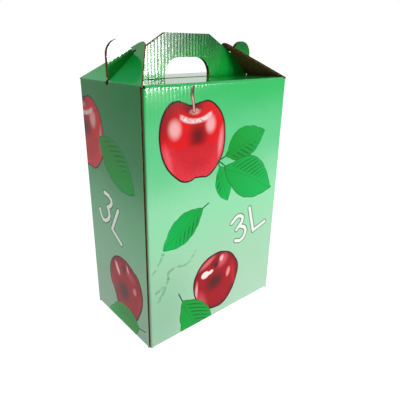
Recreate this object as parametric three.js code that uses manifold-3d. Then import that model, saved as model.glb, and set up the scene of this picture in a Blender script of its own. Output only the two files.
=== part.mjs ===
// A three-litre bag-in-box carton with a carrying handle, folded from one sheet of micro-flute board.
// Millimetres, +Z up, the front panel faces -Y. The origin is the middle of the base, on the floor.
//
// The sheet wraps round four walls and is glued at the front left corner. Its bottom flaps make a
// crash-lock base, its front and back top flaps meet in the middle and stand up as a double handle,
// and a lock flap on each side leans in over the handle, which sticks its ears out through the
// flap's slit. The two lock flaps are the ones that open first, so each is a piece on its crease.

import * as THREE from 'three';
import { mergeVertices } from 'three/addons/utils/BufferGeometryUtils.js';
import Module from 'manifold-3d';

const wasm = await Module();
wasm.setup();

// Carton, outside
const boxWidth = 160;
const boxDepth = 97;
const boxHeight = 228; // floor to the top crease
const board = 1.6; // thickness of the micro-flute board
const bendInside = 0.6; // inside radius of a crease
const sheetGap = 0.3; // between sheets that lie on one another
const cornerPost = 3.6; // the flaps' creases end this far from the carton's corners
const postClearance = 0.4; // a corner post stops this far above the floor

// Glue seam at the front left corner
const seamGap = 1.8; // from the front face to the raw edge of the left wall
const tabWidth = 28;
const tabEndClearance = 6;
const tabTaper = 7; // the tab's ends slope by this much

// Handle, heights above the top crease
const handleRise = 36.3;
const handleTopLength = 49;
const shoulderFoot = 28.2; // from the carton's side
const notchFloor = 20.8;
const earRadius = 11.4;
const earRise = 19.2; // centre of the ear's round top
const earInset = 0.8; // from the carton's side
const handHoleWidth = 51;
const handHoleHeight = 17;
const handHoleRadius = 15;
const handHoleSill = 0.2; // the hole starts just above the crease

// Lock flaps
const lockAngle = 40.5; // degrees above the horizontal, with the flap closed
const lockEdgeInset = 0.3; // from the carton's front and back
const lockTipRadius = 7.5;
const earSwing = 0.5; // the slit's end clears the ears by this much as the flap swings
const slitClearance = 0.4; // on each side of the double handle
const creaseGap = 0.3; // between a side wall's top edge and its lock flap's round root

// Crash-lock base
const sideFlapLength = 46;
const sideFlapHalf = 36; // half its width, between the ramps of the main flaps
const sideFlapTaper = 14;
const scoreWidth = 1;
const scoreDepth = 0.35;
const rampStart = 4; // from the front face
const rampEnd = 12;
const lapEdge = 4; // a main flap's low half ends this far past the middle
const lapRampStart = 12; // and its high half climbs from here
const lapRampEnd = 5;
const tongueReach = 14;
const splitWidth = 2;
const glueLineWidth = 12;

// Tap window, perforated in the right wall
const tapRadius = 20;
const tapHeight = 34;
const perforations = 12;
const perforationWidth = 0.8;
const nickShare = 0.3; // of each perforation's pitch is left uncut

const printGreen = 0x4fae72;

const bendOutside = bendInside + board;
const halfWidth = boxWidth / 2;
const halfDepth = boxDepth / 2;
const handleFace = board + sheetGap / 2; // from the middle plane to the handle's front
const topFlapHalf = halfWidth - cornerPost;
const secondLayer = board + sheetGap;
const thirdLayer = 2 * secondLayer;
const lean = THREE.MathUtils.degToRad(lockAngle);
const sideTop = boxHeight - board - creaseGap;
const lockAxisX = halfWidth - board / 2; // a lock flap turns about the middle of the board
const lockAxisZ = boxHeight - board / 2;
const earX = halfWidth - earInset - earRadius;
const earZ = boxHeight + earRise;
const earReach = Math.hypot(lockAxisX - earX, earZ - lockAxisZ) + earRadius;
const slitHalf = handleFace + slitClearance;
const slitRound = slitHalf - Math.sqrt(slitHalf ** 2 - handleFace ** 2);
const slitLength = earReach + earSwing + slitRound;
const beyond = 20; // how far a cutting solid runs past what it cuts
const arcStep = Math.PI / 12;

// Solids

function solidOf(geometry) {
  geometry.deleteAttribute('normal');
  geometry.deleteAttribute('uv');
  const merged = mergeVertices(geometry, 1e-4);
  return new wasm.Manifold(new wasm.Mesh({
    numProp: 3,
    vertProperties: merged.attributes.position.array,
    triVerts: new Uint32Array(merged.index.array),
  }));
}

function geometryOf(solid) {
  const { vertProperties, triVerts } = solid.getMesh();
  const geometry = new THREE.BufferGeometry();
  geometry.setAttribute('position', new THREE.BufferAttribute(vertProperties, 3));
  geometry.setIndex(new THREE.BufferAttribute(triVerts, 1));
  geometry.computeVertexNormals();
  return geometry;
}

// Extrudes a shape between two places on an axis. The shape is drawn in (y, z) for the X axis,
// in (x, z) for the Y axis and in (x, y) for the Z axis.
function extrude(shape, axis, from, to) {
  const geometry = new THREE.ExtrudeGeometry(shape, {
    depth: to - from,
    bevelEnabled: false,
    curveSegments: 14,
  });
  const x = new THREE.Vector3(1, 0, 0);
  const y = new THREE.Vector3(0, 1, 0);
  const z = new THREE.Vector3(0, 0, 1);
  const turn = {
    x: new THREE.Matrix4().makeBasis(y, z, x).setPosition(from, 0, 0),
    y: new THREE.Matrix4().makeBasis(x, z, y.clone().negate()).setPosition(0, to, 0),
    z: new THREE.Matrix4().makeTranslation(0, 0, from),
  };
  return solidOf(geometry.applyMatrix4(turn[axis]));
}

function polygon(points) {
  return new THREE.Shape(points.map(([a, b]) => new THREE.Vector2(a, b)));
}

function rectangle(left, bottom, right, top) {
  return polygon([[left, bottom], [right, bottom], [right, top], [left, top]]);
}

function box(x0, y0, z0, x1, y1, z1) {
  return extrude(rectangle(x0, y0, x1, y1), 'z', z0, z1);
}

function halfTurn(solid) {
  return solid.rotate([0, 0, 180]);
}

// The section of a folded sheet. The points run along its printed face, and the board lies to the
// right of them. Each crease is rounded, with the same inside radius whichever way it folds.
function foldedSection(face) {
  const points = face.map(([a, b]) => new THREE.Vector2(a, b));
  const printed = [];
  const plain = [];
  points.forEach((point, i) => {
    const before = i > 0 ? point.clone().sub(points[i - 1]).normalize() : null;
    const after = i < points.length - 1 ? points[i + 1].clone().sub(point).normalize() : null;
    if (!before || !after) {
      const along = before || after;
      printed.push(point);
      plain.push(new THREE.Vector2(along.y, -along.x).multiplyScalar(board).add(point));
      return;
    }
    const turn = Math.atan2(before.cross(after), before.dot(after)); // left is positive
    const printedRadius = turn < 0 ? bendOutside : bendInside;
    const plainRadius = turn < 0 ? bendInside : bendOutside;
    const inward = new THREE.Vector2(-before.y, before.x).multiplyScalar(Math.sign(turn));
    const centre = point.clone()
      .addScaledVector(before, -printedRadius * Math.tan(Math.abs(turn) / 2))
      .addScaledVector(inward, printedRadius);
    const steps = Math.ceil(Math.abs(turn) / arcStep);
    for (let k = 0; k <= steps; k++) {
      const spoke = inward.clone().negate().rotateAround(new THREE.Vector2(), turn * k / steps);
      printed.push(centre.clone().addScaledVector(spoke, printedRadius));
      plain.push(centre.clone().addScaledVector(spoke, plainRadius));
    }
  });
  return new THREE.Shape([...printed, ...plain.reverse()]);
}

// Walls

// The four walls, from the left wall's raw edge round to the front left crease, and the glue tab,
// which lies against the inside of the left wall.
function walls() {
  const low = postClearance;
  const high = boxHeight;
  const wrap = extrude(foldedSection([
    [-halfWidth, -halfDepth + seamGap],
    [-halfWidth, halfDepth],
    [halfWidth, halfDepth],
    [halfWidth, -halfDepth],
    [0, -halfDepth],
  ]), 'z', low, high);
  const seam = extrude(foldedSection([
    [0, -halfDepth],
    [-halfWidth + board, -halfDepth],
    [-halfWidth + board, -halfDepth + bendOutside + seamGap],
  ]), 'z', low, high);
  return wrap.add(seam).add(glueTab());
}

function glueTab() {
  const start = -halfDepth + bendOutside;
  const end = -halfDepth + tabWidth;
  const low = tabEndClearance;
  const high = boxHeight - tabEndClearance;
  const outline = polygon([[start, low], [end, low + tabTaper], [end, high - tabTaper], [start, high]]);
  return extrude(outline, 'x', -halfWidth + board, -halfWidth + 2 * board);
}

// What is cut from the walls where a crease takes over from them.
function wallEnds() {
  const inX = halfWidth - cornerPost;
  const inY = halfDepth - cornerPost;
  const top = boxHeight - bendOutside;
  return [
    box(-halfWidth - beyond, -halfDepth - beyond, sideTop, halfWidth + beyond, halfDepth + beyond, boxHeight + beyond),
    box(-inX, -halfDepth - beyond, -beyond, inX, halfDepth + beyond, bendOutside),
    box(-halfWidth - beyond, -inY, -beyond, halfWidth + beyond, inY, bendOutside),
    box(-inX, -halfDepth - beyond, top, inX, halfDepth + beyond, boxHeight + beyond),
  ];
}

// A round relief at the middle of each side crease, where the lock flap's slit begins.
function slitReliefs() {
  const hole = new THREE.Shape();
  hole.absarc(0, lockAxisZ, slitHalf, 0, 2 * Math.PI, false);
  return extrude(hole, 'x', -halfWidth - beyond, halfWidth + beyond)
    .subtract(box(-topFlapHalf, -beyond, 0, topFlapHalf, beyond, boxHeight + beyond));
}

// Short cuts in a ring through the right wall, with nicks of board left between them.
function tapWindow() {
  const pitch = 2 * Math.PI / perforations;
  const span = pitch * (1 - nickShare);
  const cuts = [];
  for (let i = 0; i < perforations; i++) {
    const start = i * pitch;
    const slot = new THREE.Shape();
    slot.absarc(0, tapHeight, tapRadius + perforationWidth / 2, start, start + span, false);
    slot.absarc(0, tapHeight, tapRadius - perforationWidth / 2, start + span, start, true);
    cuts.push(extrude(slot, 'x', halfWidth - beyond, halfWidth + beyond));
  }
  return cuts;
}

// Top

// The crease at the front wall's top, the top flap and the crease at the handle's foot.
function topFlap() {
  const section = foldedSection([
    [-halfDepth, boxHeight - 2 * bendOutside],
    [-halfDepth, boxHeight],
    [-handleFace, boxHeight],
    [-handleFace, boxHeight + 2 * bendInside],
  ]);
  return extrude(section, 'x', -topFlapHalf, topFlapHalf);
}

function handleOutline() {
  const foot = boxHeight + bendInside;
  const top = boxHeight + handleRise;
  const notch = boxHeight + notchFloor;
  const earEnd = Math.PI - Math.asin((notchFloor - earRise) / earRadius);
  const outline = new THREE.Shape();
  outline.moveTo(-topFlapHalf, foot);
  outline.lineTo(topFlapHalf, foot);
  outline.lineTo(halfWidth - earInset, foot + cornerPost - earInset);
  outline.absarc(earX, earZ, earRadius, 0, earEnd, false);
  outline.lineTo(halfWidth - shoulderFoot, notch);
  outline.lineTo(handleTopLength / 2, top);
  outline.lineTo(-handleTopLength / 2, top);
  outline.lineTo(-halfWidth + shoulderFoot, notch);
  outline.absarc(-earX, earZ, earRadius, Math.PI - earEnd, Math.PI, false);
  outline.lineTo(-halfWidth + earInset, foot + cornerPost - earInset);
  return outline;
}

function handHole() {
  const half = handHoleWidth / 2;
  const sill = boxHeight + handHoleSill;
  const spring = boxHeight + handHoleHeight - handHoleRadius;
  const hole = new THREE.Shape();
  hole.moveTo(-half, sill);
  hole.lineTo(half, sill);
  hole.absarc(half - handHoleRadius, spring, handHoleRadius, 0, Math.PI / 2, false);
  hole.absarc(-half + handHoleRadius, spring, handHoleRadius, Math.PI / 2, Math.PI, false);
  return hole;
}

function frontTop() {
  const panel = extrude(handleOutline(), 'y', -handleFace, -sheetGap / 2);
  const cut = extrude(handHole(), 'y', -handleFace - beyond, beyond);
  return topFlap().add(panel).subtract(cut);
}

// Crash-lock base

// The front main flap. Its left half lies low and ends just past the middle, its right half climbs
// over the back flap's low half and ends in a tongue.
function mainFlap() {
  const start = [
    [-rampEnd + halfDepth, secondLayer],
    [-rampStart + halfDepth, 0],
    [halfDepth, 0],
    [halfDepth, 2 * bendOutside],
  ].map(([y, z]) => [-y, z]);
  const low = foldedSection([[lapEdge, secondLayer], ...start]);
  const high = foldedSection([
    [tongueReach, thirdLayer],
    [-lapRampEnd, thirdLayer],
    [-lapRampStart, secondLayer],
    ...start,
  ]);
  const split = box(-splitWidth / 2, -lapRampStart, -beyond, splitWidth / 2, beyond, beyond);
  return extrude(low, 'x', -topFlapHalf, 0).add(extrude(high, 'x', 0, topFlapHalf)).subtract(split);
}

// The left side flap, outermost under the base, with the diagonal score that it folds flat on.
function sideFlap() {
  const section = foldedSection([
    [-halfWidth + sideFlapLength, 0],
    [-halfWidth, 0],
    [-halfWidth, 2 * bendOutside],
  ]);
  const crease = halfDepth - cornerPost;
  const notch = -halfWidth + bendOutside + sheetGap;
  const end = -halfWidth + sideFlapLength;
  const outline = polygon([
    [-halfWidth - beyond, -crease],
    [notch, -crease],
    [notch, -sideFlapHalf],
    [end - sideFlapTaper / 2, -sideFlapHalf],
    [end, -sideFlapHalf + sideFlapTaper],
    [end, sideFlapTaper / 2],
    [end - sideFlapTaper, sideFlapHalf - sideFlapTaper / 2],
    [notch, sideFlapHalf],
    [notch, crease],
    [-halfWidth - beyond, crease],
  ]);
  return extrude(section, 'y', -crease, crease)
    .intersect(extrude(outline, 'z', -beyond, boxHeight))
    .subtract(score());
}

function score() {
  const groove = polygon([[-scoreWidth / 2, 0], [scoreWidth / 2, 0], [0, scoreDepth]]);
  return extrude(groove, 'y', -beyond, sideFlapLength * 2)
    .rotate([0, 0, -45])
    .translate([-halfWidth + bendOutside, -halfDepth + bendOutside, 0]);
}

// The glue between the left side flap's corner and the front main flap.
function glueLine() {
  const from = -halfWidth + rampEnd;
  const line = polygon([
    [from, -sideFlapHalf + sheetGap],
    [from + glueLineWidth, -sideFlapHalf + sheetGap],
    [from + 2 * glueLineWidth, -sideFlapHalf + glueLineWidth],
    [from + glueLineWidth, -sideFlapHalf + glueLineWidth],
  ]);
  return extrude(line, 'z', board, secondLayer);
}

// Pieces

function carton() {
  const base = mainFlap().add(sideFlap()).add(glueLine());
  const top = frontTop();
  const cut = [...wallEnds(), slitReliefs(), ...tapWindow()];
  return cut.reduce((solid, tool) => solid.subtract(tool), walls())
    .add(base)
    .add(halfTurn(base))
    .add(top)
    .add(halfTurn(top));
}

// A lock flap lying in its own plane: the crease is the Y axis, the flap runs along +X, and its
// printed face is uppermost. Its root is round, about the crease.
function lockFlap() {
  const baseHalf = halfDepth - lockEdgeInset;
  const tip = baseHalf - lockTipRadius * (Math.SQRT2 - 1);
  const tipCentre = tip - lockTipRadius;
  const outline = new THREE.Shape();
  outline.moveTo(-beyond, -baseHalf);
  outline.lineTo(0, -baseHalf);
  outline.absarc(tipCentre, 0, lockTipRadius, -Math.PI / 4, Math.PI / 4, false);
  outline.lineTo(0, baseHalf);
  outline.lineTo(-beyond, baseHalf);
  const slit = new THREE.Shape();
  slit.moveTo(-2 * beyond, -slitHalf);
  slit.lineTo(slitLength - slitHalf, -slitHalf);
  slit.absarc(slitLength - slitHalf, 0, slitHalf, -Math.PI / 2, Math.PI / 2, false);
  slit.lineTo(-2 * beyond, slitHalf);
  const section = new THREE.Shape();
  section.moveTo(halfDepth, board / 2);
  section.lineTo(0, board / 2);
  section.absarc(0, 0, board / 2, Math.PI / 2, 1.5 * Math.PI, false);
  section.lineTo(halfDepth, -board / 2);
  return extrude(section, 'y', -halfDepth, halfDepth)
    .intersect(extrude(outline, 'z', -beyond, beyond))
    .subtract(extrude(slit, 'z', -beyond, beyond));
}

function mesh(name, geometry) {
  const material = new THREE.MeshStandardMaterial({ color: printGreen, roughness: 0.3, metalness: 0 });
  const made = new THREE.Mesh(geometry, material);
  made.name = name;
  return made;
}

const root = new THREE.Group();
root.add(mesh('carton', geometryOf(carton())));

for (const [name, sign] of [['left_lock_flap', -1], ['right_lock_flap', 1]]) {
  const hinge = new THREE.Group();
  hinge.position.set(sign * lockAxisX, 0, lockAxisZ);
  hinge.rotation.z = sign > 0 ? Math.PI : 0;
  const flap = mesh(name, geometryOf(lockFlap()));
  flap.rotation.y = -lean;
  hinge.add(flap);
  root.add(hinge);
}

export default root;
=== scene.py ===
import math

import bmesh
import bpy
from mathutils import Matrix, Vector


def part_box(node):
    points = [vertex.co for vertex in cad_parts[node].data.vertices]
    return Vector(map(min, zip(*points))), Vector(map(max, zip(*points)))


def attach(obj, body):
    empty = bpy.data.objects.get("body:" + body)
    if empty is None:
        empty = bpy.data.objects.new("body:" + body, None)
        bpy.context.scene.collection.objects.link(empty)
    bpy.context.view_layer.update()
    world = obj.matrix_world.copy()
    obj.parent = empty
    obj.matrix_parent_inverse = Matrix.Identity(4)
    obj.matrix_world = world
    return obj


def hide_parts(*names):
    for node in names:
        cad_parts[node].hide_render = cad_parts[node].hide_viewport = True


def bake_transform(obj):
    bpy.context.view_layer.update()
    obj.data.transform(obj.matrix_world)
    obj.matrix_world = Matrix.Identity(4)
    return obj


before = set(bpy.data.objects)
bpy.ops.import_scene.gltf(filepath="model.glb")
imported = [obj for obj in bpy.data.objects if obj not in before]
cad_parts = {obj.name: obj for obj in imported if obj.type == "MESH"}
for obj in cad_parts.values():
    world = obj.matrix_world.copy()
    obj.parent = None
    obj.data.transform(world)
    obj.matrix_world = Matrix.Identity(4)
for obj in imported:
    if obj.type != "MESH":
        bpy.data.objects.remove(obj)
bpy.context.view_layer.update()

# The looks of a three-litre bag-in-box carton. Shapes are worked out in millimetres, in the
# frame's axes, and turned into metres when they become pieces.

MM = 0.001
_, HIGH = (Vector(corner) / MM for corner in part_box("carton"))

# The carton's sizes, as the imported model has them. BEND_IN is a crease's inside radius, and the
# creases of the flaps end POST from the carton's corners.
HALF_W = HIGH.x
HALF_D = HIGH.y
CREASE = 228.0
BOARD = 1.6
BEND_IN = 0.6
BEND_OUT = BEND_IN + BOARD
SHEET_GAP = 0.3
POST = 3.6
POST_CLEAR = 0.4
SEAM_GAP = 1.8
TAB_WIDTH = 28.0
TAB_END = 6.0
TAB_TAPER = 7.0
HANDLE_FACE = BOARD + SHEET_GAP / 2
FLAP_HALF = HALF_W - POST
SIDE_TOP = CREASE - BOARD - SHEET_GAP
AXIS_X = HALF_W - BOARD / 2
AXIS_Z = CREASE - BOARD / 2

# Handle
HANDLE_TOP = HIGH.z
HANDLE_TOP_LENGTH = 49.0
SHOULDER_FOOT = 28.2
NOTCH = 20.8
EAR_R = 11.4
EAR_INSET = 0.8
EAR_X = HALF_W - EAR_INSET - EAR_R
EAR_Z = CREASE + 19.2
HOLE_WIDTH = 51.0
HOLE_HEIGHT = 17.0
HOLE_R = 15.0
HOLE_SILL = 0.2

# Lock flaps
LEAN = math.radians(40.5)
LOCK_INSET = 0.3
LOCK_TIP_R = 7.5
EAR_SWING = 0.5
SLIT_HALF = HANDLE_FACE + 0.4
EAR_REACH = math.hypot(AXIS_X - EAR_X, EAR_Z - AXIS_Z) + EAR_R
SLIT_LENGTH = EAR_REACH + EAR_SWING + SLIT_HALF - math.sqrt(SLIT_HALF**2 - HANDLE_FACE**2)
ROOT_R = 0.55
ROOT_REACH = 0.8
STRIP_STEPS = 16

# Base
SIDE_FLAP = 46.0
SIDE_FLAP_HALF = 36.0
SIDE_FLAP_TAPER = 14.0
SCORE_WIDTH = 1.0
SCORE_DEPTH = 0.35
SCORE_START = -0.1
SECOND = BOARD + SHEET_GAP
THIRD = 2 * SECOND
RAMP_START = 4.0
RAMP_END = 12.0
LAP_EDGE = 4.0
LAP_RAMP_START = 12.0
LAP_RAMP_END = 5.0
TONGUE = 14.0
SPLIT = 2.0
GLUE_LINE = 12.0

# Tap window
TAP_R = 20.0
TAP_Z = 34.0
PERFORATIONS = 12
PERFORATION = 0.8
NICK = 0.3

# Micro-flute board: two liners on a fluted medium. Its hollows fill a share of the pitch, are
# left out where they are thinner than THINNEST, and run past a raw edge by OVERRUN. In the base
# and lock flaps they start some way in. The seam shows one open flute, deeper on its printed side.
LINER = 0.25
MEDIUM = 0.2
FLUTE_PITCH = 3.4
FLUTE_SWING = (BOARD - 2 * LINER - MEDIUM) / 2
FLUTE_STEPS = 8
HOLLOW_SHARE = 0.9
THINNEST = 0.02
OVERRUN = 1.0
BASE_FLUTES = 4.0
LOCK_FLUTES = 2.0
SEAM_PRINTED_SIDE = FLUTE_PITCH * 0.8
SEAM_PLAIN_SIDE = FLUTE_PITCH * 0.5

PRINT, KRAFT = 0, 1
BEYOND = 20.0
ARC_STEP = math.radians(6)

# Solids: each is a temporary object whose faces know whether they are printed or bare


def along_x(u, v, w):
    return (w, u, v)


def along_y(u, v, w):
    return (u, w, v)


def along_z(u, v, w):
    return (u, v, w)


def solid(meshes, name="solid"):
    """One temporary object of closed shapes, each given as (points, faces, face marks)."""
    bm = bmesh.new()
    for points, faces, marks in meshes:
        verts = [bm.verts.new(p) for p in points]
        for face, mark in zip(faces, marks):
            bm.faces.new([verts[i] for i in face]).material_index = mark
    bmesh.ops.recalc_face_normals(bm, faces=bm.faces)
    mesh = bpy.data.meshes.new(name)
    bm.to_mesh(mesh)
    bm.free()
    for mark in ("print", "kraft"):
        mesh.materials.append(bpy.data.materials.get(mark) or bpy.data.materials.new(mark))
    made = bpy.data.objects.new(name, mesh)
    bpy.context.scene.collection.objects.link(made)
    return made


def prism_mesh(outline, place, start, end, marks=None):
    """A section moved from start to end. marks gives each of its sides, from point to point."""
    n = len(outline)
    points = [place(u, v, w) for w in (start, end) for u, v in outline]
    sides = [(i, (i + 1) % n, n + (i + 1) % n, n + i) for i in range(n)]
    faces = sides + [tuple(range(n)), tuple(range(n, 2 * n))]
    return points, faces, list(marks or [KRAFT] * n) + [KRAFT, KRAFT]


def prism(outline, place, start, end, marks=None):
    return solid([prism_mesh(outline, place, start, end, marks)])


def block(low, high):
    corners = [(low[0], low[1]), (high[0], low[1]), (high[0], high[1]), (low[0], high[1])]
    return prism(corners, along_z, low[2], high[2])


def combine(first, *others, how="UNION"):
    """Joins others to first, or cuts them from it, and takes them away."""
    for other in others:
        modifier = first.modifiers.new("combine", "BOOLEAN")
        modifier.operation = how
        modifier.solver = "MANIFOLD"
        modifier.object = other
        graph = bpy.context.evaluated_depsgraph_get()
        mesh = bpy.data.meshes.new_from_object(first.evaluated_get(graph))
        first.modifiers.clear()
        first.data = mesh
        bpy.data.objects.remove(other)
    return first


def cut(first, *others):
    return combine(first, *others, how="DIFFERENCE")


def half_turned(made):
    """A copy, turned half round about the carton's upright axis."""
    copy = made.copy()
    copy.data = made.data.copy()
    copy.data.transform(Matrix.Rotation(math.pi, 4, "Z"))
    bpy.context.scene.collection.objects.link(copy)
    return copy


def arc(centre, radius, start, end, count=None):
    """Points along an arc, in count steps, or in steps of ARC_STEP at most."""
    count = count or max(2, math.ceil(abs(end - start) / ARC_STEP))
    angles = [start + (end - start) * i / count for i in range(count + 1)]
    return [(centre[0] + radius * math.cos(a), centre[1] + radius * math.sin(a)) for a in angles]


def folded(face, place, start, end):
    """A folded sheet. Its section's points run along the printed face, with the board on the
    right, and every crease is rounded."""
    points = [Vector(p) for p in face]
    printed, plain = [], []
    for i, point in enumerate(points):
        before = (point - points[i - 1]).normalized() if i else None
        after = (points[i + 1] - point).normalized() if i < len(points) - 1 else None
        if not (before and after):
            along = before or after
            printed.append(point)
            plain.append(point + BOARD * Vector((along.y, -along.x)))
            continue
        turn = math.atan2(before.x * after.y - before.y * after.x, before.dot(after))
        outer, inner = (BEND_OUT, BEND_IN) if turn < 0 else (BEND_IN, BEND_OUT)
        inward = Vector((-before.y, before.x)) * math.copysign(1, turn)
        centre = point - before * outer * math.tan(abs(turn) / 2) + inward * outer
        steps = math.ceil(abs(turn) / ARC_STEP)
        for k in range(steps + 1):
            spoke = Matrix.Rotation(turn * k / steps, 2) @ -inward
            printed.append(centre + spoke * outer)
            plain.append(centre + spoke * inner)
    outline = [tuple(p) for p in printed + plain[::-1]]
    marks = [PRINT] * (len(printed) - 1) + [KRAFT] * (len(plain) + 1)
    return prism(outline, place, start, end, marks)


def flute_hollows(place, first, last, start, end):
    """The hollows between the liners and the medium, from one end of the flutes to the other.
    place takes the way across the flutes, the depth below the printed face and the way along."""
    meshes = []
    half = FLUTE_PITCH / 2
    for k in range(math.ceil(first / half), math.floor(last / half) + 1):
        side = 1 if k % 2 else -1
        reach = half * HOLLOW_SHARE
        hump = []
        for i in range(FLUTE_STEPS + 1):
            s = -reach + 2 * reach * i / FLUTE_STEPS
            wave = FLUTE_SWING * math.cos(math.pi * s / half)
            hump.append((k * half + s, BOARD / 2 + side * (wave - MEDIUM / 2)))
        floor = BOARD / 2 - side * (BOARD / 2 - LINER)
        low = [(k * half + reach, floor), (k * half - reach, floor)]
        kept = [p for p in hump if side * (p[1] - floor) > THINNEST]
        if k * half - reach > first and k * half + reach < last:
            meshes.append(prism_mesh(kept + low, place, start, end))
    return solid(meshes)


# The carton


def walls():
    wrap = folded([
        (-HALF_W, -HALF_D + SEAM_GAP),
        (-HALF_W, HALF_D),
        (HALF_W, HALF_D),
        (HALF_W, -HALF_D),
        (0, -HALF_D),
    ], along_z, POST_CLEAR, CREASE)
    seam = folded([
        (0, -HALF_D),
        (-HALF_W + BOARD, -HALF_D),
        (-HALF_W + BOARD, -HALF_D + BEND_OUT + SEAM_GAP),
    ], along_z, POST_CLEAR, CREASE)
    return combine(wrap, seam, glue_tab())


def glue_tab():
    start, end = -HALF_D + BEND_OUT, -HALF_D + TAB_WIDTH
    low, high = TAB_END, CREASE - TAB_END
    outline = [(start, low), (end, low + TAB_TAPER), (end, high - TAB_TAPER), (start, high)]
    return prism(outline, along_x, -HALF_W + BOARD, -HALF_W + 2 * BOARD)


def wall_ends():
    out_x, out_y = HALF_W + BEYOND, HALF_D + BEYOND
    in_y = HALF_D - POST
    return [
        block((-out_x, -out_y, SIDE_TOP), (out_x, out_y, CREASE + BEYOND)),
        block((-FLAP_HALF, -out_y, -BEYOND), (FLAP_HALF, out_y, BEND_OUT)),
        block((-out_x, -in_y, -BEYOND), (out_x, in_y, BEND_OUT)),
        block((-FLAP_HALF, -out_y, CREASE - BEND_OUT), (FLAP_HALF, out_y, CREASE + BEYOND)),
    ]


def slit_relief(side):
    circle = arc((0, AXIS_Z), SLIT_HALF, 0, 2 * math.pi)[:-1]
    return prism(circle, along_x, side * FLAP_HALF, side * (HALF_W + BEYOND))


def seam_hollow():
    """The open flute that the left wall's raw edge shows."""
    edge = -HALF_D + SEAM_GAP
    section = [
        (-HALF_W + LINER, edge - OVERRUN),
        (-HALF_W + LINER, edge + SEAM_PRINTED_SIDE),
        (-HALF_W + BOARD - LINER, edge + SEAM_PLAIN_SIDE),
        (-HALF_W + BOARD - LINER, edge - OVERRUN),
    ]
    return prism(section, along_z, -OVERRUN, CREASE + BEYOND)


def tap_window():
    """The perforations that let a round window for the tap be pushed out of the right wall."""
    pitch = 2 * math.pi / PERFORATIONS
    cuts = []
    for i in range(PERFORATIONS):
        start, end = i * pitch, i * pitch + pitch * (1 - NICK)
        slot = arc((0, TAP_Z), TAP_R + PERFORATION / 2, start, end)
        slot += arc((0, TAP_Z), TAP_R - PERFORATION / 2, end, start)
        cuts.append(prism_mesh(slot, along_x, HALF_W - BEYOND, HALF_W + BEYOND))
    return solid(cuts)


def handle_outline():
    foot, notch = CREASE + BEND_IN, CREASE + NOTCH
    side = HALF_W - EAR_INSET
    ear_end = math.pi - math.asin((notch - EAR_Z) / EAR_R)
    half = [(FLAP_HALF, foot), (side, foot + POST - EAR_INSET)]
    half += arc((EAR_X, EAR_Z), EAR_R, 0, ear_end)
    half += [(HALF_W - SHOULDER_FOOT, notch), (HANDLE_TOP_LENGTH / 2, HANDLE_TOP)]
    return half + [(-x, z) for x, z in reversed(half)]


def hand_hole():
    half, sill = HOLE_WIDTH / 2, CREASE + HOLE_SILL
    spring = CREASE + HOLE_HEIGHT - HOLE_R
    hole = [(-half, sill), (half, sill)]
    hole += arc((half - HOLE_R, spring), HOLE_R, 0, math.pi / 2)
    hole += arc((HOLE_R - half, spring), HOLE_R, math.pi / 2, math.pi)
    return prism(hole, along_y, -HANDLE_FACE - BEYOND, BEYOND)


def front_top():
    """The front wall's top crease, the top flap and the front half of the double handle."""
    flap = folded([
        (-HALF_D, CREASE - 2 * BEND_OUT),
        (-HALF_D, CREASE),
        (-HANDLE_FACE, CREASE),
        (-HANDLE_FACE, CREASE + 2 * BEND_IN),
    ], along_x, -FLAP_HALF, FLAP_HALF)
    outline = handle_outline()
    panel = prism(outline, along_y, -HANDLE_FACE, -SHEET_GAP / 2)
    for face in panel.data.polygons:
        if face.normal.y < -0.9:
            face.material_index = PRINT
    made = cut(combine(flap, panel), hand_hole())
    foot, end = CREASE + 2 * BEND_IN, HANDLE_TOP + OVERRUN
    return cut(made, flute_hollows(
        lambda s, depth, run: (s, depth - HANDLE_FACE, run), -HALF_W, HALF_W, foot, end,
    ))


def main_flap():
    """The front base flap. Its left half laps under the back flap and its right half over it."""
    start = [
        (RAMP_END - HALF_D, SECOND),
        (RAMP_START - HALF_D, 0),
        (-HALF_D, 0),
        (-HALF_D, 2 * BEND_OUT),
    ]
    high = [(TONGUE, THIRD), (-LAP_RAMP_END, THIRD), (-LAP_RAMP_START, SECOND)]
    low_half = folded([(LAP_EDGE, SECOND)] + start, along_x, -FLAP_HALF, 0)
    high_half = folded(high + start, along_x, 0, FLAP_HALF)
    split = block((-SPLIT / 2, -LAP_RAMP_START, -BEYOND), (SPLIT / 2, BEYOND, BEYOND))
    made = cut(combine(low_half, high_half), split)
    edge = SPLIT / 2 + FLUTE_PITCH / 4
    low_hollows = flute_hollows(
        lambda s, depth, run: (s, run, SECOND + depth),
        -FLAP_HALF, -edge, -BASE_FLUTES, LAP_EDGE + OVERRUN,
    )
    high_hollows = flute_hollows(
        lambda s, depth, run: (s, run, THIRD + depth),
        edge, FLAP_HALF, BASE_FLUTES, TONGUE + OVERRUN,
    )
    return cut(made, low_hollows, high_hollows)


def side_flap():
    """The left base flap, whose scored front corner is glued under the front flap."""
    crease = HALF_D - POST
    notch = -HALF_W + BEND_OUT + SHEET_GAP
    end = -HALF_W + SIDE_FLAP
    flap = folded([(end, 0), (-HALF_W, 0), (-HALF_W, 2 * BEND_OUT)], along_y, -crease, crease)
    outline = prism([
        (-HALF_W - BEYOND, -crease),
        (notch, -crease),
        (notch, -SIDE_FLAP_HALF),
        (end - SIDE_FLAP_TAPER / 2, -SIDE_FLAP_HALF),
        (end, -SIDE_FLAP_HALF + SIDE_FLAP_TAPER),
        (end, SIDE_FLAP_TAPER / 2),
        (end - SIDE_FLAP_TAPER, SIDE_FLAP_HALF - SIDE_FLAP_TAPER / 2),
        (notch, SIDE_FLAP_HALF),
        (notch, crease),
        (-HALF_W - BEYOND, crease),
    ], along_z, -BEYOND, CREASE)
    made = cut(combine(flap, outline, how="INTERSECT"), score())
    return cut(made, flute_hollows(
        lambda s, depth, run: (run, s, depth),
        -SIDE_FLAP_HALF, SIDE_FLAP_HALF, notch + BASE_FLUTES, end + OVERRUN,
    ))


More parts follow.
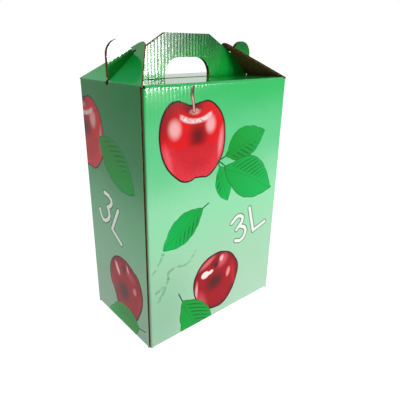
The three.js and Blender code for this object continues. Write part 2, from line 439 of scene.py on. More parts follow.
def score():
    half = SCORE_WIDTH / 2
    groove = [(-half, SCORE_START), (half, SCORE_START), (0, SCORE_DEPTH)]
    made = prism(groove, along_y, -BEYOND, 2 * SIDE_FLAP)
    corner = Matrix.Translation((-HALF_W + BEND_OUT, -HALF_D + BEND_OUT, 0))
    made.data.transform(corner @ Matrix.Rotation(-math.pi / 4, 4, "Z"))
    return made


def glue_line():
    start = -HALF_W + RAMP_END
    edge = -SIDE_FLAP_HALF + SHEET_GAP
    return prism([
        (start, edge),
        (start + GLUE_LINE, edge),
        (start + 2 * GLUE_LINE, edge + GLUE_LINE),
        (start + GLUE_LINE, edge + GLUE_LINE),
    ], along_z, BOARD, SECOND)


def carton_solid():
    made = cut(walls(), *wall_ends(), slit_relief(-1), slit_relief(1), seam_hollow(), tap_window())
    base = combine(main_flap(), side_flap(), glue_line())
    top = front_top()
    return combine(made, half_turned(base), base, half_turned(top), top)


# Lock flaps. They are drawn flat, with the crease on the Y axis and the printed face uppermost.


def at_crease(side):
    """From the drawing of a side crease to its place on one side of the carton."""
    turn = Matrix.Rotation(math.pi if side > 0 else 0, 4, "Z")
    return Matrix.Translation((side * AXIS_X, 0, AXIS_Z)) @ turn


def lock_flap(side):
    base_half = HALF_D - LOCK_INSET
    tip = base_half - LOCK_TIP_R * (math.sqrt(2) - 1)
    corner = [(0, -base_half)] + arc((tip - LOCK_TIP_R, 0), LOCK_TIP_R, -math.pi / 4, math.pi / 4)
    panel = prism(corner + [(0, base_half)], along_z, -BOARD / 2, BOARD / 2)
    for face in panel.data.polygons:
        if face.normal.z > 0.9:
            face.material_index = PRINT
    section = [(ROOT_REACH, ROOT_R), (0, ROOT_R)]
    section += arc((0, 0), ROOT_R, math.pi / 2, 1.5 * math.pi)[1:]
    section += [(ROOT_REACH, -ROOT_R)]
    root = prism(section, along_y, -base_half, base_half)
    slit = [(-BEYOND, -SLIT_HALF)]
    slit += arc((SLIT_LENGTH - SLIT_HALF, 0), SLIT_HALF, -math.pi / 2, math.pi / 2)
    slit += [(-BEYOND, SLIT_HALF)]
    made = cut(combine(panel, root), prism(slit, along_z, -BEYOND, BEYOND))
    made = cut(made, flute_hollows(
        lambda s, depth, run: (run, s, BOARD / 2 - depth),
        -base_half, base_half, LOCK_FLUTES, HALF_D,
    ))
    made.data.transform(at_crease(side) @ Matrix.Rotation(-LEAN, 4, "Y"))
    return made


def crease_strip(side):
    """The printed paper that bends with a side crease, between the wall and its lock flap."""
    outer, inner = (
        [(-radius, SIDE_TOP - AXIS_Z)]
        + arc((0, 0), radius, math.pi, math.pi / 2 + LEAN, STRIP_STEPS)
        for radius in (BOARD / 2, ROOT_R)
    )
    marks = [PRINT] * (len(outer) - 1) + [KRAFT] * (len(inner) + 1)
    flat_half = HALF_D - BEND_OUT
    made = prism(outer + inner[::-1], along_y, -flat_half, flat_half, marks)
    relief = prism(arc((0, 0), SLIT_HALF, 0, 2 * math.pi)[:-1], along_x, -BEYOND, BEYOND)
    made = cut(made, relief)
    made.data.transform(at_crease(side))
    return made


# Surfaces. A Field is a number that varies over the surface, worked out by nodes.


def linear(*colour):
    """A colour given as 0 to 255, as a picture shows it, for a shader."""
    return tuple(
        c / 255 / 12.92 if c / 255 <= 0.04045 else ((c / 255 + 0.055) / 1.055) ** 2.4 for c in colour
    ) + (1.0,)


class Field:
    def __init__(self, tree, socket):
        self.tree = tree
        self.socket = socket

    def math(self, operation, *others):
        node = self.tree.nodes.new("ShaderNodeMath")
        node.operation = operation
        for given, value in zip(node.inputs, (self, *others)):
            if isinstance(value, Field):
                self.tree.links.new(value.socket, given)
            else:
                given.default_value = value
        return Field(self.tree, node.outputs[0])

    def __add__(self, other):
        return self.math("ADD", other)

    def __sub__(self, other):
        return self.math("SUBTRACT", other)

    def __rsub__(self, other):
        return self.math("MULTIPLY", -1.0).math("ADD", other)

    def __mul__(self, other):
        return self.math("MULTIPLY", other)

    def __truediv__(self, other):
        return self.math("DIVIDE", other)

    def __neg__(self):
        return self.math("MULTIPLY", -1.0)

    def __abs__(self):
        return self.math("ABSOLUTE")

    def __pow__(self, other):
        return self.math("POWER", other)

    def sin(self):
        return self.math("SINE")

    def least(self, other):
        return self.math("MINIMUM", other)

    def most(self, other):
        return self.math("MAXIMUM", other)

    def curve(self, points, smooth=True):
        """Follows a line through points, each given as what goes in, from 0 to 1, and comes out."""
        node = self.tree.nodes.new("ShaderNodeFloatCurve")
        line = node.mapping.curves[0]
        for _ in points[2:]:
            line.points.new(0.5, 0.5)
        for made, given in zip(line.points, points):
            made.location = given
            made.handle_type = "AUTO" if smooth else "VECTOR"
        node.mapping.update()
        self.tree.links.new(self.socket, node.inputs["Value"])
        return Field(self.tree, node.outputs["Value"])

    def fade(self, start, end, low=0.0, high=1.0):
        """Goes from low at start to high at end, and stays there beyond them."""
        node = self.tree.nodes.new("ShaderNodeMapRange")
        node.interpolation_type = "SMOOTHSTEP"
        self.tree.links.new(self.socket, node.inputs["Value"])
        for name, value in zip(("From Min", "From Max", "To Min", "To Max"), (start, end, low, high)):
            node.inputs[name].default_value = value
        return Field(self.tree, node.outputs["Result"])


def hypot(a, b):
    return (a * a + b * b) ** 0.5


def mix(tree, under, over, mask):
    """over painted on under where mask is 1. Each is a colour or a colour socket."""
    node = tree.nodes.new("ShaderNodeMix")
    node.data_type = "RGBA"
    if isinstance(mask, Field):
        tree.links.new(mask.socket, node.inputs["Factor"])
    else:
        node.inputs["Factor"].default_value = mask
    sockets = [s for s in node.inputs if s.type == "RGBA"]
    for given, value in zip(sockets, (under, over)):
        if isinstance(value, tuple):
            given.default_value = value
        else:
            tree.links.new(value, given)
    return next(s for s in node.outputs if s.type == "RGBA")


def coordinates(tree):
    """The place on the surface in millimetres, in the row frame, as the carton stands at rest."""
    place = tree.nodes.new("ShaderNodeTexCoord")
    split = tree.nodes.new("ShaderNodeSeparateXYZ")
    tree.links.new(place.outputs["Object"], split.inputs[0])
    return place.outputs["Object"], [Field(tree, s) * 1000.0 for s in split.outputs]


def noise(tree, place, scale, detail=2.0, stretch=(1, 1, 1)):
    """Even noise from 0 to 1. scale is in features per metre."""
    mapping = tree.nodes.new("ShaderNodeMapping")
    mapping.inputs["Scale"].default_value = stretch
    tree.links.new(place, mapping.inputs["Vector"])
    node = tree.nodes.new("ShaderNodeTexNoise")
    node.inputs["Scale"].default_value = scale
    node.inputs["Detail"].default_value = detail
    tree.links.new(mapping.outputs[0], node.inputs["Vector"])
    return Field(tree, node.outputs["Fac"])


def bump(tree, height):
    """Turns a height in metres into the shader's normal."""
    node = tree.nodes.new("ShaderNodeBump")
    node.inputs["Strength"].default_value = 1.0
    node.inputs["Distance"].default_value = 1.0
    tree.links.new(height.socket, node.inputs["Height"])
    return node.outputs["Normal"]


def new_material(name):
    material = bpy.data.materials.new(name)
    material.use_nodes = True
    return material, material.node_tree, material.node_tree.nodes["Principled BSDF"]


# The print. Outlines are closed lines in millimetres, across and up on the panel. BIG_APPLE is
# drawn about its own middle, and the others where they stand. The figures and WRINKLES, which
# are creases in the varnish of the front wall, are open lines.


GRADIENT = [
    (0, linear(186, 226, 198)),
    (60, linear(176, 226, 190)),
    (120, linear(156, 234, 182)),
    (180, linear(102, 214, 144)),
    (228, linear(52, 198, 104)),
    (262, linear(8, 168, 60)),
    (282, linear(2, 158, 52)),
    (314, linear(0, 94, 36)),
]
LEAF_GREEN = linear(0, 190, 84)
LEAF_DEEP = linear(0, 160, 44)
LEAF_LINE = linear(0, 108, 38)
BIG_APPLE = [
    (-18.5, 27.9), (-8.5, 25.5), (-2, 24.2), (6, 25.6), (15.7, 26.2), (24, 21.5), (29.5, 15.5), (33.4, 7.5),
    (34.7, -0.5), (34.9, -9), (33.7, -17.3), (30.8, -24.2), (26, -30.2), (21.4, -34.6), (15.8, -37.6),
    (9, -37.2), (2.3, -36.6), (-2, -38), (-7.4, -38.4), (-13.6, -36.6), (-18.8, -32.8), (-28.5, -21.9),
    (-33.9, -6.8), (-34.6, 4.6), (-31.5, 17.5), (-26, 24.9),
]
SMALL_APPLE = [
    (-30.2, 42.0), (-29.5, 51.5), (-26.0, 58.7), (-21.2, 64.4), (-13.9, 69.1), (-5.0, 71.3), (2.8, 71.6),
    (11.0, 69.3), (18.1, 65.4), (24.3, 58.1), (28.8, 50.1), (29.5, 42.8), (27.5, 34.1), (25.1, 26.6),
    (21.2, 19.8), (15.8, 13.6), (8.9, 9.4), (0.5, 8.7), (-7.1, 10.2), (-17.4, 18.0), (-26.6, 28.6),
]
SIDE_APPLE = [
    (-17.4, 51.1), (-15.9, 59.6), (-10.0, 68.9), (0, 74.8), (8.9, 75.8), (17.4, 74.5), (25.3, 70.7),
    (32.3, 67.1), (37.3, 59.5), (39.5, 50.5), (39.0, 41.8), (35.4, 31.2), (28.8, 19.5), (17.5, 12.1),
    (7.2, 12.4), (-5.9, 20.8), (-11.4, 33.7), (-16.3, 41.5),
]
TOP_LEAF = [
    (3.9, 165.1), (7.3, 169.9), (10.5, 178.3), (17.4, 185.3), (24.8, 187.9), (33.9, 187.8), (44.9, 185.6),
    (55.2, 181.6), (51.7, 175.5), (46.8, 168.6), (37.8, 161.4), (20.7, 158.6), (10.3, 162.2),
]
WIDE_LEAF = [
    (3.4, 155.5), (14.4, 157.4), (23.2, 160.0), (31.1, 160.6), (43.7, 158.5), (51.3, 153.8), (59.8, 143.8),
    (65.7, 133.4), (69.0, 125.3), (71.8, 122.0), (64.3, 119.9), (52.4, 117.9), (37.8, 118.7), (26.2, 123.0),
    (19.1, 128.7), (14.0, 135.2), (6.2, 147.3),
]
LOW_LEAF = [
    (-1.7, 157.1), (-3.9, 152.9), (-5.9, 145.1), (-4.8, 135.6), (-1.5, 130.1), (5.1, 124.6), (9.7, 122.0),
    (11.4, 126.0), (13.0, 131.5), (13.0, 141.2), (9.9, 149.4), (4.6, 154.1),
]
LONE_LEAF = [
    (-20.4, 122.4), (-29.6, 123.8), (-37.4, 123.6), (-48.2, 119.7), (-55.5, 113.6), (-59.8, 105.7),
    (-64.1, 94.5), (-55.8, 93.0), (-44.9, 93.2), (-34.9, 97.7), (-28.1, 104.4), (-23.6, 112.8),
]
CUT_LEAF = [
    (-43.4, 35.8), (-34.1, 32.9), (-24.1, 28.0), (-14.8, 19.2), (-8.5, 10.3), (-6.1, 1.8), (-9, -12),
    (-17, -25), (-31, -20), (-42, -6), (-44.8, 9.4), (-45.1, 24.3),
]
SIDE_LEAF = [
    (-19.7, 181.6), (-10.2, 183.9), (2.8, 182.6), (14.9, 177.0), (25.5, 166.0), (30.3, 156.0), (33.5, 143.5),
    (17.6, 141.2), (4.0, 144.8), (-7.6, 152.5), (-15.0, 163.0), (-18.5, 172.0),
]
SIDE_CUT_LEAF = [
    (-24.8, 1.8), (-14.9, 13.0), (-4.1, 22.0), (7.4, 24.6), (19.7, 22.8), (29.4, 16.5), (31.5, 12.9),
    (24.0, 0.3), (12, -11), (-6, -14), (-20, -8),
]
FIGURE = [
    [(16.9, 96.7), (21.7, 100.6), (25.2, 102.0), (28.6, 101.9), (31.8, 99.4), (31.9, 96.6), (31, 94.3),
     (28.5, 92.0), (24.0, 87.9)],
    [(27.2, 90.6), (32.7, 89.0), (36.0, 86.9), (37.4, 83.6), (36.8, 80.2), (34.2, 76.2), (29.5, 74.2),
     (23.5, 76.2)],
]
FIGURE_FEET = [(41.1, 106.6), (48.8, 79.8), (65.7, 85.0)]
SIDE_FIGURE = [
    [(-17.2, 131.5), (-10.2, 130.6), (-5.6, 127.3), (-5.5, 124.3), (-8.4, 120.9), (-13.5, 118.1)],
    [(-13.5, 118.1), (-11.6, 115.4), (-11.0, 111.5), (-13.4, 106.8), (-19.6, 102.9), (-24.1, 103.2),
     (-27.1, 106.8), (-28.9, 111.9)],
]
SIDE_FEET = [(5.2, 120.9), (-7.7, 98.8), (7.6, 89.5)]
WRINKLES = [
    [(-64.2, 91.2), (-67.4, 85.7), (-74.8, 76.0)],
    [(-28.0, 82.1), (-35.7, 74.0), (-40.4, 72.6), (-50.5, 74.4), (-58.3, 72.2), (-60.5, 62.1), (-64.9, 52.9),
     (-70.2, 46.2)],
    [(-58.3, 66.2), (-66.9, 57.9), (-72.2, 56.2)],
]


def moved(outline, across, up=0.0):
    return [(u + across, v + up) for u, v in outline]


def gradient(tree, rise):
    """The ground colour of the print at a height in millimetres."""
    colour = GRADIENT[0][1]
    for (start, _), (end, shade) in zip(GRADIENT, GRADIENT[1:]):
        colour = mix(tree, colour, shade, rise.fade(start, end))
    return colour


class Sheet:
    """A printed panel: u and v are its across and up in millimetres, and colour is built up."""

    def __init__(self, tree, u, v, colour, grain):
        self.tree, self.u, self.v, self.colour, self.grain = tree, u, v, colour, grain

    def paint(self, colour, mask):
        self.colour = mix(self.tree, self.colour, colour, mask)

    def spot(self, centre, size, angle=0.0):
        """0 at the centre of an ellipse that leans left by an angle in degrees, and 1 on its edge."""
        a = math.radians(angle)
        du, dv = self.u - centre[0], self.v - centre[1]
        across, up = du * math.cos(a) + dv * math.sin(a), dv * math.cos(a) - du * math.sin(a)
        return hypot(across / size[0], up / size[1])

    def glow(self, colour, centre, size, angle=0.0, strength=1.0, edge=0.0):
        """Paints an ellipse of a colour, with a soft edge."""
        self.paint(colour, self.spot(centre, size, angle).fade(1.0, edge) * strength)

    def line(self, points):
        """Millimetres from a line through the points."""
        distance = None
        for (x0, y0), (x1, y1) in zip(points, points[1:]):
            dx, dy = x1 - x0, y1 - y0
            along = ((self.u - x0) * dx + (self.v - y0) * dy) / (dx * dx + dy * dy)
            along = along.most(0.0).least(1.0)
            near = hypot(self.u - x0 - along * dx, self.v - y0 - along * dy)
            distance = distance.least(near) if distance else near
        return distance

    def inside(self, outline, smooth=True):
        """0 at the middle of a closed outline and 1 on it, whatever the way from the middle."""
        cu = sum(u for u, _ in outline) / len(outline)
        cv = sum(v for _, v in outline) / len(outline)
        du, dv = self.u - cu, self.v - cv
        reach = max(math.hypot(u - cu, v - cv) for u, v in outline)
        turns = sorted(
            (math.atan2(v - cv, u - cu) / math.tau + 0.5, math.hypot(u - cu, v - cv) / reach)
            for u, v in outline
        )
        (first, start), (last, end) = turns[0], turns[-1]
        seam = end + (start - end) * (1 - last) / (first + 1 - last)
        radius = (dv.math("ARCTAN2", du) / math.tau + 0.5).curve([(0, seam)] + turns + [(1, seam)], smooth)
        return hypot(du, dv) / (radius * reach)


def big_apple(sheet, across, up):
    """The apple with its skin, its shine and its stalk."""
    shape = sheet.inside(moved(BIG_APPLE, across, up))
    own = Sheet(sheet.tree, sheet.u - across, sheet.v - up, linear(236, 8, 18), sheet.grain)
    own.paint(linear(150, 2, 10), shape.fade(0.55, 1.0) * own.v.fade(-14, 14) * own.u.fade(24, -6))
    own.glow(linear(108, 0, 4), (4, -1), (15, 17), 0, 0.95, 0.1)
    own.paint(linear(214, 30, 44), own.v.fade(-6, -12) * 0.9)
    own.glow(linear(176, 20, 34), (4, -30), (12, 16), 0, 0.6)
    own.paint(linear(246, 64, 78), own.v.fade(0, -12) * shape.fade(0.5, 0.95) * own.grain.fade(0.1, 0.7))
    own.paint(linear(232, 48, 62), own.v.fade(-8, -20) * own.grain.fade(0.3, 0.7) * 0.5)
    own.glow(linear(255, 184, 184), (-19.5, 6.5), (8.5, 10.5), 10, 0.95, 0.3)
    own.glow(linear(255, 188, 192), (17.5, 7), (7.5, 10), 0, 0.9, 0.3)
    own.glow(linear(255, 150, 158), (29.5, -9), (4, 18), -6, 0.85, 0.2)
    own.glow(linear(255, 110, 120), (-26, -17), (4.5, 19), 16, 0.6, 0.1)
    own.glow(linear(255, 176, 180), (27.5, 19.5), (4.5, 2.4), -48, 0.8, 0.3)
    own.glow(linear(104, 2, 8), (-1, 21), (13, 6), 0, 0.9, 0.2)
    own.glow(linear(235, 176, 160), (0.5, 18.5), (7.5, 3.4), 0, own.grain.fade(0.32, 0.55), 0.3)
    smile = abs(own.spot((2, 29), (24, 18)) - 1.0)
    lit = smile.fade(0.15, 0.05) * own.v.fade(18.5, 15.5) * abs(own.u - 2).fade(18, 14)
    own.paint(linear(255, 222, 220), lit * own.grain.fade(0.3, 0.45))
    own.paint(linear(34, 4, 8), shape.fade(0.948, 0.972))
    sheet.paint(own.colour, shape.fade(1.008, 0.994))
    stalk = [(across - 0.5, up + 19), (across - 1.2, up + 26), (across - 2.8, up + 32), (across - 2, up + 37)]
    thread = sheet.line(stalk)
    sheet.paint(linear(84, 30, 24), thread.fade(1.7, 1.3))
    sheet.paint(linear(232, 172, 156), thread.fade(1.0, 0.6) * (sheet.v - up).fade(33, 29))


def small_apple(sheet, outline, shines):
    """A darker apple. shines are its spots, as (colour, centre, size, angle, strength, edge)."""
    shape = sheet.inside(outline)
    own = Sheet(sheet.tree, sheet.u, sheet.v, linear(176, 12, 30), sheet.grain)
    own.paint(linear(124, 6, 20), shape.fade(0.7, 1.0) * 0.6)
    for shine in shines:
        own.glow(*shine)
    own.paint(linear(34, 4, 8), shape.fade(0.945, 0.97))
    sheet.paint(own.colour, shape.fade(1.008, 0.994))


FRONT_SHINES = [
    (linear(236, 86, 100), (-20, 24), (9, 20), 24, 0.85, 0.0),
    (linear(255, 176, 182), (-26.5, 37), (2.6, 15), -4, 0.95, 0.3),
    (linear(250, 120, 128), (-13, 64), (16, 4), 26, 0.8, 0.2),
    (linear(96, 26, 24), (-3, 40), (17, 13), 14, 0.95, 0.2),
    (linear(214, 30, 44), (22, 40), (4, 20), 8, 0.8, 0.2),
    (linear(240, 100, 110), (6, 61), (12, 9), 30, 0.85, 0.2),
    (linear(150, 8, 22), (-3, 61), (8, 7), 20, 0.9, 0.3),
    (linear(70, 30, 22), (-2, 58.5), (4.4, 4), 0, 0.95, 0.3),
    (linear(255, 196, 196), (5.4, 63.5), (3, 4.4), -20, 1.0, 0.5),
    (linear(52, 12, 12), (1.2, 64.5), (0.9, 5.6), -18, 1.0, 0.5),
    (linear(255, 150, 152), (15.2, 44.8), (3.2, 7), -14, 0.95, 0.5),
    (linear(255, 244, 240), (-15.6, 52.2), (5.6, 4.2), 10, 1.0, 0.75),
    (linear(255, 244, 240), (-9, 52.8), (4.6, 2.3), 20, 1.0, 0.7),
]
SIDE_SHINES = [
    (linear(205, 66, 84), (-12.5, 42), (3.4, 18), 14, 0.7, 0.0),
    (linear(84, 34, 32), (7, 40), (15, 15), 30, 0.95, 0.2),
    (linear(196, 40, 60), (33, 38), (4, 17), -16, 0.7, 0.2),
    (linear(206, 78, 96), (20, 62), (12, 6), -24, 0.8, 0.2),
    (linear(110, 16, 26), (9.7, 65), (6, 7), -20, 0.9, 0.3),
    (linear(255, 190, 196), (15.9, 67.2), (2, 5.4), 22, 0.9, 0.4),
    (linear(255, 208, 210), (-2.2, 61), (3, 9), 28, 0.95, 0.5),
    (linear(236, 150, 158), (26.4, 49.2), (4.0, 5), 0, 0.9, 0.3),
]


def leaf(sheet, outline, base, tip, stalk=None, side=1, deep=0.0):
    """A leaf with darker veins on one side of its rib. deep mixes in the deeper green."""
    if stalk:
        sheet.paint(linear(14, 100, 50), sheet.line([base, stalk]).fade(0.8, 0.45))
    length = math.dist(base, tip)
    across, up = (tip[0] - base[0]) / length, (tip[1] - base[1]) / length
    du, dv = sheet.u - base[0], sheet.v - base[1]
    along = du * across + dv * up
    off = (dv * across - du * up) * side
    shape = sheet.inside(outline, smooth=False)
    green = mix(sheet.tree, LEAF_GREEN, LEAF_DEEP, along.fade(length, 0) * 0.5 + deep)
    bend = along - abs(off) * 0.8 - off * off * 0.012 + sheet.grain * 1.5
    veins = (bend * (math.tau / 5.6)).sin().fade(0.1, 0.9) * off.fade(1, 5) * shape.fade(1.0, 0.75)
    green = mix(sheet.tree, green, LEAF_LINE, veins * along.fade(length * 0.95, length * 0.5) * 0.85)
    rib = abs(off + (along - length / 2) * (along - length / 2) * 0.002)
    green = mix(sheet.tree, green, LEAF_LINE, rib.fade(0.6, 0.2) * 0.35)
    green = mix(sheet.tree, green, LEAF_LINE, shape.fade(0.955, 0.98) * 0.8)
    sheet.paint(green, shape.fade(1.008, 0.994))


def capacity(sheet, lines):
    """A plain figure three and a litre sign, white with a green edge."""
    stroke = sheet.line(lines[0])
    for points in lines[1:]:
        stroke = stroke.least(sheet.line(points))
    sheet.paint(linear(20, 96, 58), stroke.fade(2.9, 2.5))
    sheet.paint(linear(252, 255, 246), stroke.fade(2.05, 1.6))


def front_print(sheet):
    # Painted shade: a soft, darker ellipse over the lower left of the front wall.
    sheet.glow(linear(138, 196, 158), (-66, 24), (56, 80), 0, 0.55)
    big_apple(sheet, -31.5, 188)
    leaf(sheet, LOW_LEAF, (-2.8, 157), (9.7, 122), stalk=(-3.1, 161.8), side=-1)
    leaf(sheet, TOP_LEAF, (4, 164.6), (55.2, 181.6), stalk=(-4.3, 162), side=-1, deep=0.5)
    leaf(sheet, WIDE_LEAF, (5.2, 155.5), (71.8, 122), stalk=(-3.1, 161.8))
    leaf(sheet, LONE_LEAF, (-20.4, 122.4), (-64.1, 94.5), stalk=(-13.9, 125.4))
    capacity(sheet, FIGURE + [FIGURE_FEET])
    small_apple(sheet, SMALL_APPLE, FRONT_SHINES)
    leaf(sheet, CUT_LEAF, (-43.4, 35.8), (-17, -25), stalk=(-47.4, 44.8), deep=0.3)


def left_print(sheet):
    # Painted shade: the left wall's ground colour is deepened to a darker green, more towards its top.
    sheet.paint(linear(14, 104, 50), sheet.v.fade(50, 215, 0.3, 0.66))
    big_apple(sheet, -46.6, 188)
    leaf(sheet, SIDE_LEAF, (-19.7, 181.6), (33.5, 143.5), deep=0.5)
    # Painted shade: a dark wash over the big apple, its leaf and the ground above 100 mm, strongest above 180
    # mm.
    sheet.paint(linear(20, 24, 10), sheet.v.fade(100, 180) * 0.24)
    capacity(sheet, SIDE_FIGURE + [SIDE_FEET])
    small_apple(sheet, SIDE_APPLE, SIDE_SHINES)
    leaf(sheet, SIDE_CUT_LEAF, (31.5, 12.9), (-24.8, 1.8), stalk=(41.7, 14.9), side=-1, deep=0.4)


def right_print(sheet):
    # Painted shade: the right wall's ground colour is deepened to a darker green, more towards its top.
    sheet.paint(linear(14, 104, 50), sheet.v.fade(50, 215, 0.3, 0.5))
    big_apple(sheet, -5, 188)
    leaf(sheet, moved(LONE_LEAF, 62, 18), (41.6, 140.4), (-2.1, 112.5), stalk=(48, 143))
    capacity(sheet, [moved(points, -2, -26) for points in SIDE_FIGURE + [SIDE_FEET]])
    leaf(sheet, moved(SIDE_LEAF, -4, -134), (-23.7, 47.6), (29.5, 9.5))


def back_print(sheet):
    front_print(sheet)
    big_apple(sheet, HALF_W + HALF_D - 46.6, 188)


# How far the print's surface rises and falls, in metres
FLUTE_RELIEF = 0.011e-3
CREASE_RELIEF = 0.09e-3
PULP_RELIEF = 0.034e-3
WARP_RELIEF = 0.10e-3
GRAIN_RELIEF = 0.010e-3
WRINKLE_RELIEF = 0.10e-3
KRAFT_RELIEF = 0.06e-3
# How far its flutes, its wrinkles and its ground colour wander, in millimetres
FLUTE_DRIFT = 1.4
WRINKLE_DRIFT = 6.0
GROUND_DRIFT = 20.0


def washboard(tree, place, flute, rise, fine):
    """The height of the board under its print in metres: its flutes, its waves and its grain."""
    drift = (noise(tree, place, 60, 2, (1, 1, 0.35)) - 0.5) * FLUTE_DRIFT
    wave = ((flute + drift) * (math.tau / FLUTE_PITCH)).sin()
    height = wave * abs(rise - CREASE).fade(4, 0.5, FLUTE_RELIEF, CREASE_RELIEF)
    height = height + (noise(tree, place, 420, 3, (1, 1, 0.4)) - 0.5) * PULP_RELIEF
    height = height + (noise(tree, place, 45, 2) - 0.5) * WARP_RELIEF
    return height + (fine - 0.5) * GRAIN_RELIEF


def printed(name, panel, design):
    """Varnished print on micro-flute board. panel turns a place x, y, z into the panel's across
    and up, and the way across the flutes."""
    material, tree, shader = new_material(name)
    place, axes = coordinates(tree)
    across, rise, flute = panel(*axes)
    fine = noise(tree, place, 1500, 3)
    grain = noise(tree, place, 900, 2)
    colour = gradient(tree, rise + (noise(tree, place, 25, 2) - 0.5) * GROUND_DRIFT)
    sheet = Sheet(tree, across, rise, colour, grain)
    height = washboard(tree, place, flute, rise, fine)
    if design:
        design(sheet)
    if design is front_print:
        cracks = noise(tree, place, 260, 3)
        for crease in WRINKLES:
            near = sheet.line(crease) + (cracks - 0.5) * WRINKLE_DRIFT
            height = height - near.fade(1.8, 0.0) * WRINKLE_RELIEF
            # Painted shade: each varnish crease is also drawn as a greyer, darker line along it.
            sheet.paint(linear(84, 130, 100), near.fade(1.6, 0.0) * 0.42)
    sheet.paint(linear(255, 255, 255), (fine - 0.5).most(0.0) * 0.05)
    tree.links.new(sheet.colour, shader.inputs["Base Color"])
    normal = bump(tree, height)
    tree.links.new(normal, shader.inputs["Normal"])
    tree.links.new(normal, shader.inputs["Coat Normal"])
    shader.inputs["Roughness"].default_value = 0.3
    shader.inputs["Specular IOR Level"].default_value = 0.0
    shader.inputs["Coat Weight"].default_value = 1.0
    shader.inputs["Coat Roughness"].default_value = 0.11
    shader.inputs["Coat IOR"].default_value = 1.22
    return material


def kraft_material():
    """Bare kraft paper, with its fibres."""
    material, tree, shader = new_material("kraft_board")
    place, _ = coordinates(tree)
    fibre = noise(tree, place, 700, 4, (1, 1, 0.3))
    cloud = noise(tree, place, 60, 3)
    colour = mix(tree, linear(98, 68, 42), linear(136, 98, 64), fibre.fade(0.3, 0.7))
    colour = mix(tree, colour, linear(78, 54, 32), cloud.fade(0.5, 0.8) * 0.5)
    tree.links.new(colour, shader.inputs["Base Color"])
    tree.links.new(bump(tree, (fibre - 0.5) * KRAFT_RELIEF), shader.inputs["Normal"])
    shader.inputs["Roughness"].default_value = 0.85
    shader.inputs["Specular IOR Level"].default_value = 0.2
    return material


def print_materials():
    """The materials of the printed faces, by the way that they look."""
    looks = {
        "front": (lambda x, y, z: (x, z, x), front_print),
        "back": (lambda x, y, z: (-x, z, x), back_print),
        "left": (lambda x, y, z: (-y, z, y), left_print),
        "right": (lambda x, y, z: (y, z, y), right_print),
        "top": (lambda x, y, z: (x, CREASE + HALF_D - abs(y), x), None),
        "handle": (lambda x, y, z: (x, z + HALF_D, x), None),
        "lock": (lambda x, y, z: (y, (z - AXIS_Z) * (1 / math.sin(LEAN)) + CREASE, y), None),
        "base": (lambda x, y, z: (x, z, x), None),
    }
    return {look: printed("print_" + look, *given) for look, given in looks.items()}


def look_of(centre, normal):
    """Which print a printed face of the carton has."""
    if centre.z < BEND_OUT / 2 or normal.z < -0.7:
        return "base"
    if centre.z > CREASE - 0.5 * BEND_OUT:
        return "handle" if abs(normal.z) < 0.5 and abs(centre.y) < HANDLE_FACE + BEND_IN else "top"
    if abs(normal.y) > abs(normal.x):
        return "front" if normal.y < 0 else "back"
    return "left" if normal.x < 0 else "right"


def finished(made, name, looks, kraft, choose):
    """Turns a solid in millimetres into a piece in metres, with a material on each face."""
    order = list(looks)
    old = [face.material_index for face in made.data.polygons]
    picks = [
        order.index(choose(face.center, face.normal)) if mark == PRINT else len(order)
        for face, mark in zip(made.data.polygons, old)
    ]
    used = sorted(set(picks))
    made.data.materials.clear()
    for pick in used:
        made.data.materials.append(kraft if pick == len(order) else looks[order[pick]])
    made.data.polygons.foreach_set("material_index", [used.index(pick) for pick in picks])
    made.data.transform(Matrix.Scale(MM, 4))
    made.name = name
    made.data.name = name
    return made


# Pieces


def build():
    looks = print_materials()
    kraft = kraft_material()
    carton = finished(carton_solid(), "printed_carton", looks, kraft, look_of)
    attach(carton, "carton")
    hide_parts("carton")
    for side, word in ((-1, "left"), (1, "right")):
        body = word + "_lock_flap"
        flap = finished(lock_flap(side), word + "_flap", looks, kraft, lambda c, n: "lock")
        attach(flap, body)
        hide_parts(body)
        strip = finished(crease_strip(side), word + "_crease", looks, kraft, lambda c, n: word)
        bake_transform(strip)


# Stage


CAMERA_PLACE = (-0.2310, -0.2815, 0.2534)
CAMERA_AZIMUTH = math.radians(-39.70)
CAMERA_ELEVATION = math.radians(21.34)
CAMERA_ROLL = math.radians(0.47)
SKY = 0.34
FLOOR_HALF = 12
FLOOR_GREY = 0.45
FLOOR_LIFT = 0.45
FLOOR_GLOW = 2.15


def camera():
    data = bpy.data.cameras.new("camera")
    data.sensor_width = 36
    data.lens = 35.04
    data.shift_x = 0.0301
    data.shift_y = -0.0028
    made = bpy.data.objects.new("camera", data)
    a, e = CAMERA_AZIMUTH, CAMERA_ELEVATION
    back = Vector((math.sin(a) * math.cos(e), -math.cos(a) * math.cos(e), math.sin(e)))
    level = back.to_track_quat("Z", "Y").to_matrix()
    made.rotation_euler = (level @ Matrix.Rotation(CAMERA_ROLL, 3, "Z")).to_euler()
    made.location = CAMERA_PLACE
    bpy.context.scene.collection.objects.link(made)
    bpy.context.scene.camera = made


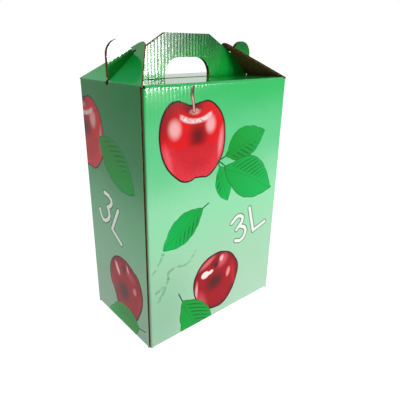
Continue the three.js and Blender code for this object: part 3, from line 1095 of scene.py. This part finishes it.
def lights():
    world = bpy.data.worlds.new("studio")
    bpy.context.scene.world = world
    world.use_nodes = True
    tree = world.node_tree
    sky = tree.nodes["Background"]
    sky.inputs["Color"].default_value = (1, 1, 1, 1)
    sky.inputs["Strength"].default_value = SKY
    seen = tree.nodes.new("ShaderNodeBackground")
    seen.inputs["Color"].default_value = (1, 1, 1, 1)
    seen.inputs["Strength"].default_value = 1.0
    either = tree.nodes.new("ShaderNodeMixShader")
    tree.links.new(looked_at(tree).socket, either.inputs[0])
    tree.links.new(sky.outputs[0], either.inputs[1])
    tree.links.new(seen.outputs[0], either.inputs[2])
    tree.links.new(either.outputs[0], tree.nodes["World Output"].inputs["Surface"])
    softbox("key", (1.02, -2.0, 0.26), (0.62, 0.52), 38, aim=(1.02, 0, 0.26), shine=False)
    softbox("key_shine", (1.01, -1.96, 0.26), (0.61, 0.51), 150, aim=(1.01, 0, 0.26), lit=False)
    softbox("key_edge", (1.45, -1.96, 0.26), (0.27, 0.51), 20, aim=(1.45, 0, 0.26), lit=False)
    softbox("back_fill", (0.8, 2.4, 0.8), (2.4, 1.2), 2.0, aim=(0, 0, 0.1), shine=False)
    softbox("low_left", (-1.6, -0.1, 0.06), (1.4, 0.34), 7.0, aim=(0, 0, 0.0), shine=False)


def looked_at(tree):
    """1 where the background or the floor is seen, straight or in a gloss, and 0 for its light."""
    path = tree.nodes.new("ShaderNodeLightPath")
    camera, glossy, through = (
        Field(tree, path.outputs[name]) for name in ("Is Camera Ray", "Is Glossy Ray", "Is Transmission Ray")
    )
    return camera.most(glossy).most(through)


def softbox(name, centre, size, radiance, aim, shine=True, lit=True):
    """A rectangular light. radiance is what its face sends out. shine is whether a gloss shows
    it, and lit whether it lights matt colours."""
    data = bpy.data.lights.new(name, "AREA")
    data.shape = "RECTANGLE"
    data.size, data.size_y = size
    data.energy = radiance * math.pi * size[0] * size[1]
    made = bpy.data.objects.new(name, data)
    made.location = centre
    made.rotation_euler = (Vector(aim) - Vector(centre)).to_track_quat("-Z", "Y").to_euler()
    made.visible_glossy = shine
    made.visible_diffuse = lit
    bpy.context.scene.collection.objects.link(made)


def floor():
    bm = bmesh.new()
    bmesh.ops.create_grid(bm, x_segments=1, y_segments=1, size=FLOOR_HALF)
    mesh = bpy.data.meshes.new("floor")
    bm.to_mesh(mesh)
    bm.free()
    made = bpy.data.objects.new("floor", mesh)
    bpy.context.scene.collection.objects.link(made)
    material, tree, shader = new_material("floor")
    shader.inputs["Base Color"].default_value = (FLOOR_GREY, FLOOR_GREY, FLOOR_GREY, 1)
    shader.inputs["Roughness"].default_value = 0.8
    shader.inputs["Specular IOR Level"].default_value = 0.0
    glow = tree.nodes.new("ShaderNodeEmission")
    glow.inputs["Strength"].default_value = FLOOR_GLOW
    either = tree.nodes.new("ShaderNodeMixShader")
    tree.links.new((looked_at(tree) * FLOOR_LIFT).socket, either.inputs[0])
    tree.links.new(shader.outputs[0], either.inputs[1])
    tree.links.new(glow.outputs[0], either.inputs[2])
    tree.links.new(either.outputs[0], tree.nodes["Material Output"].inputs["Surface"])
    made.data.materials.append(material)


bpy.context.scene.view_settings.view_transform = "Standard"
camera()
lights()
floor()
build()
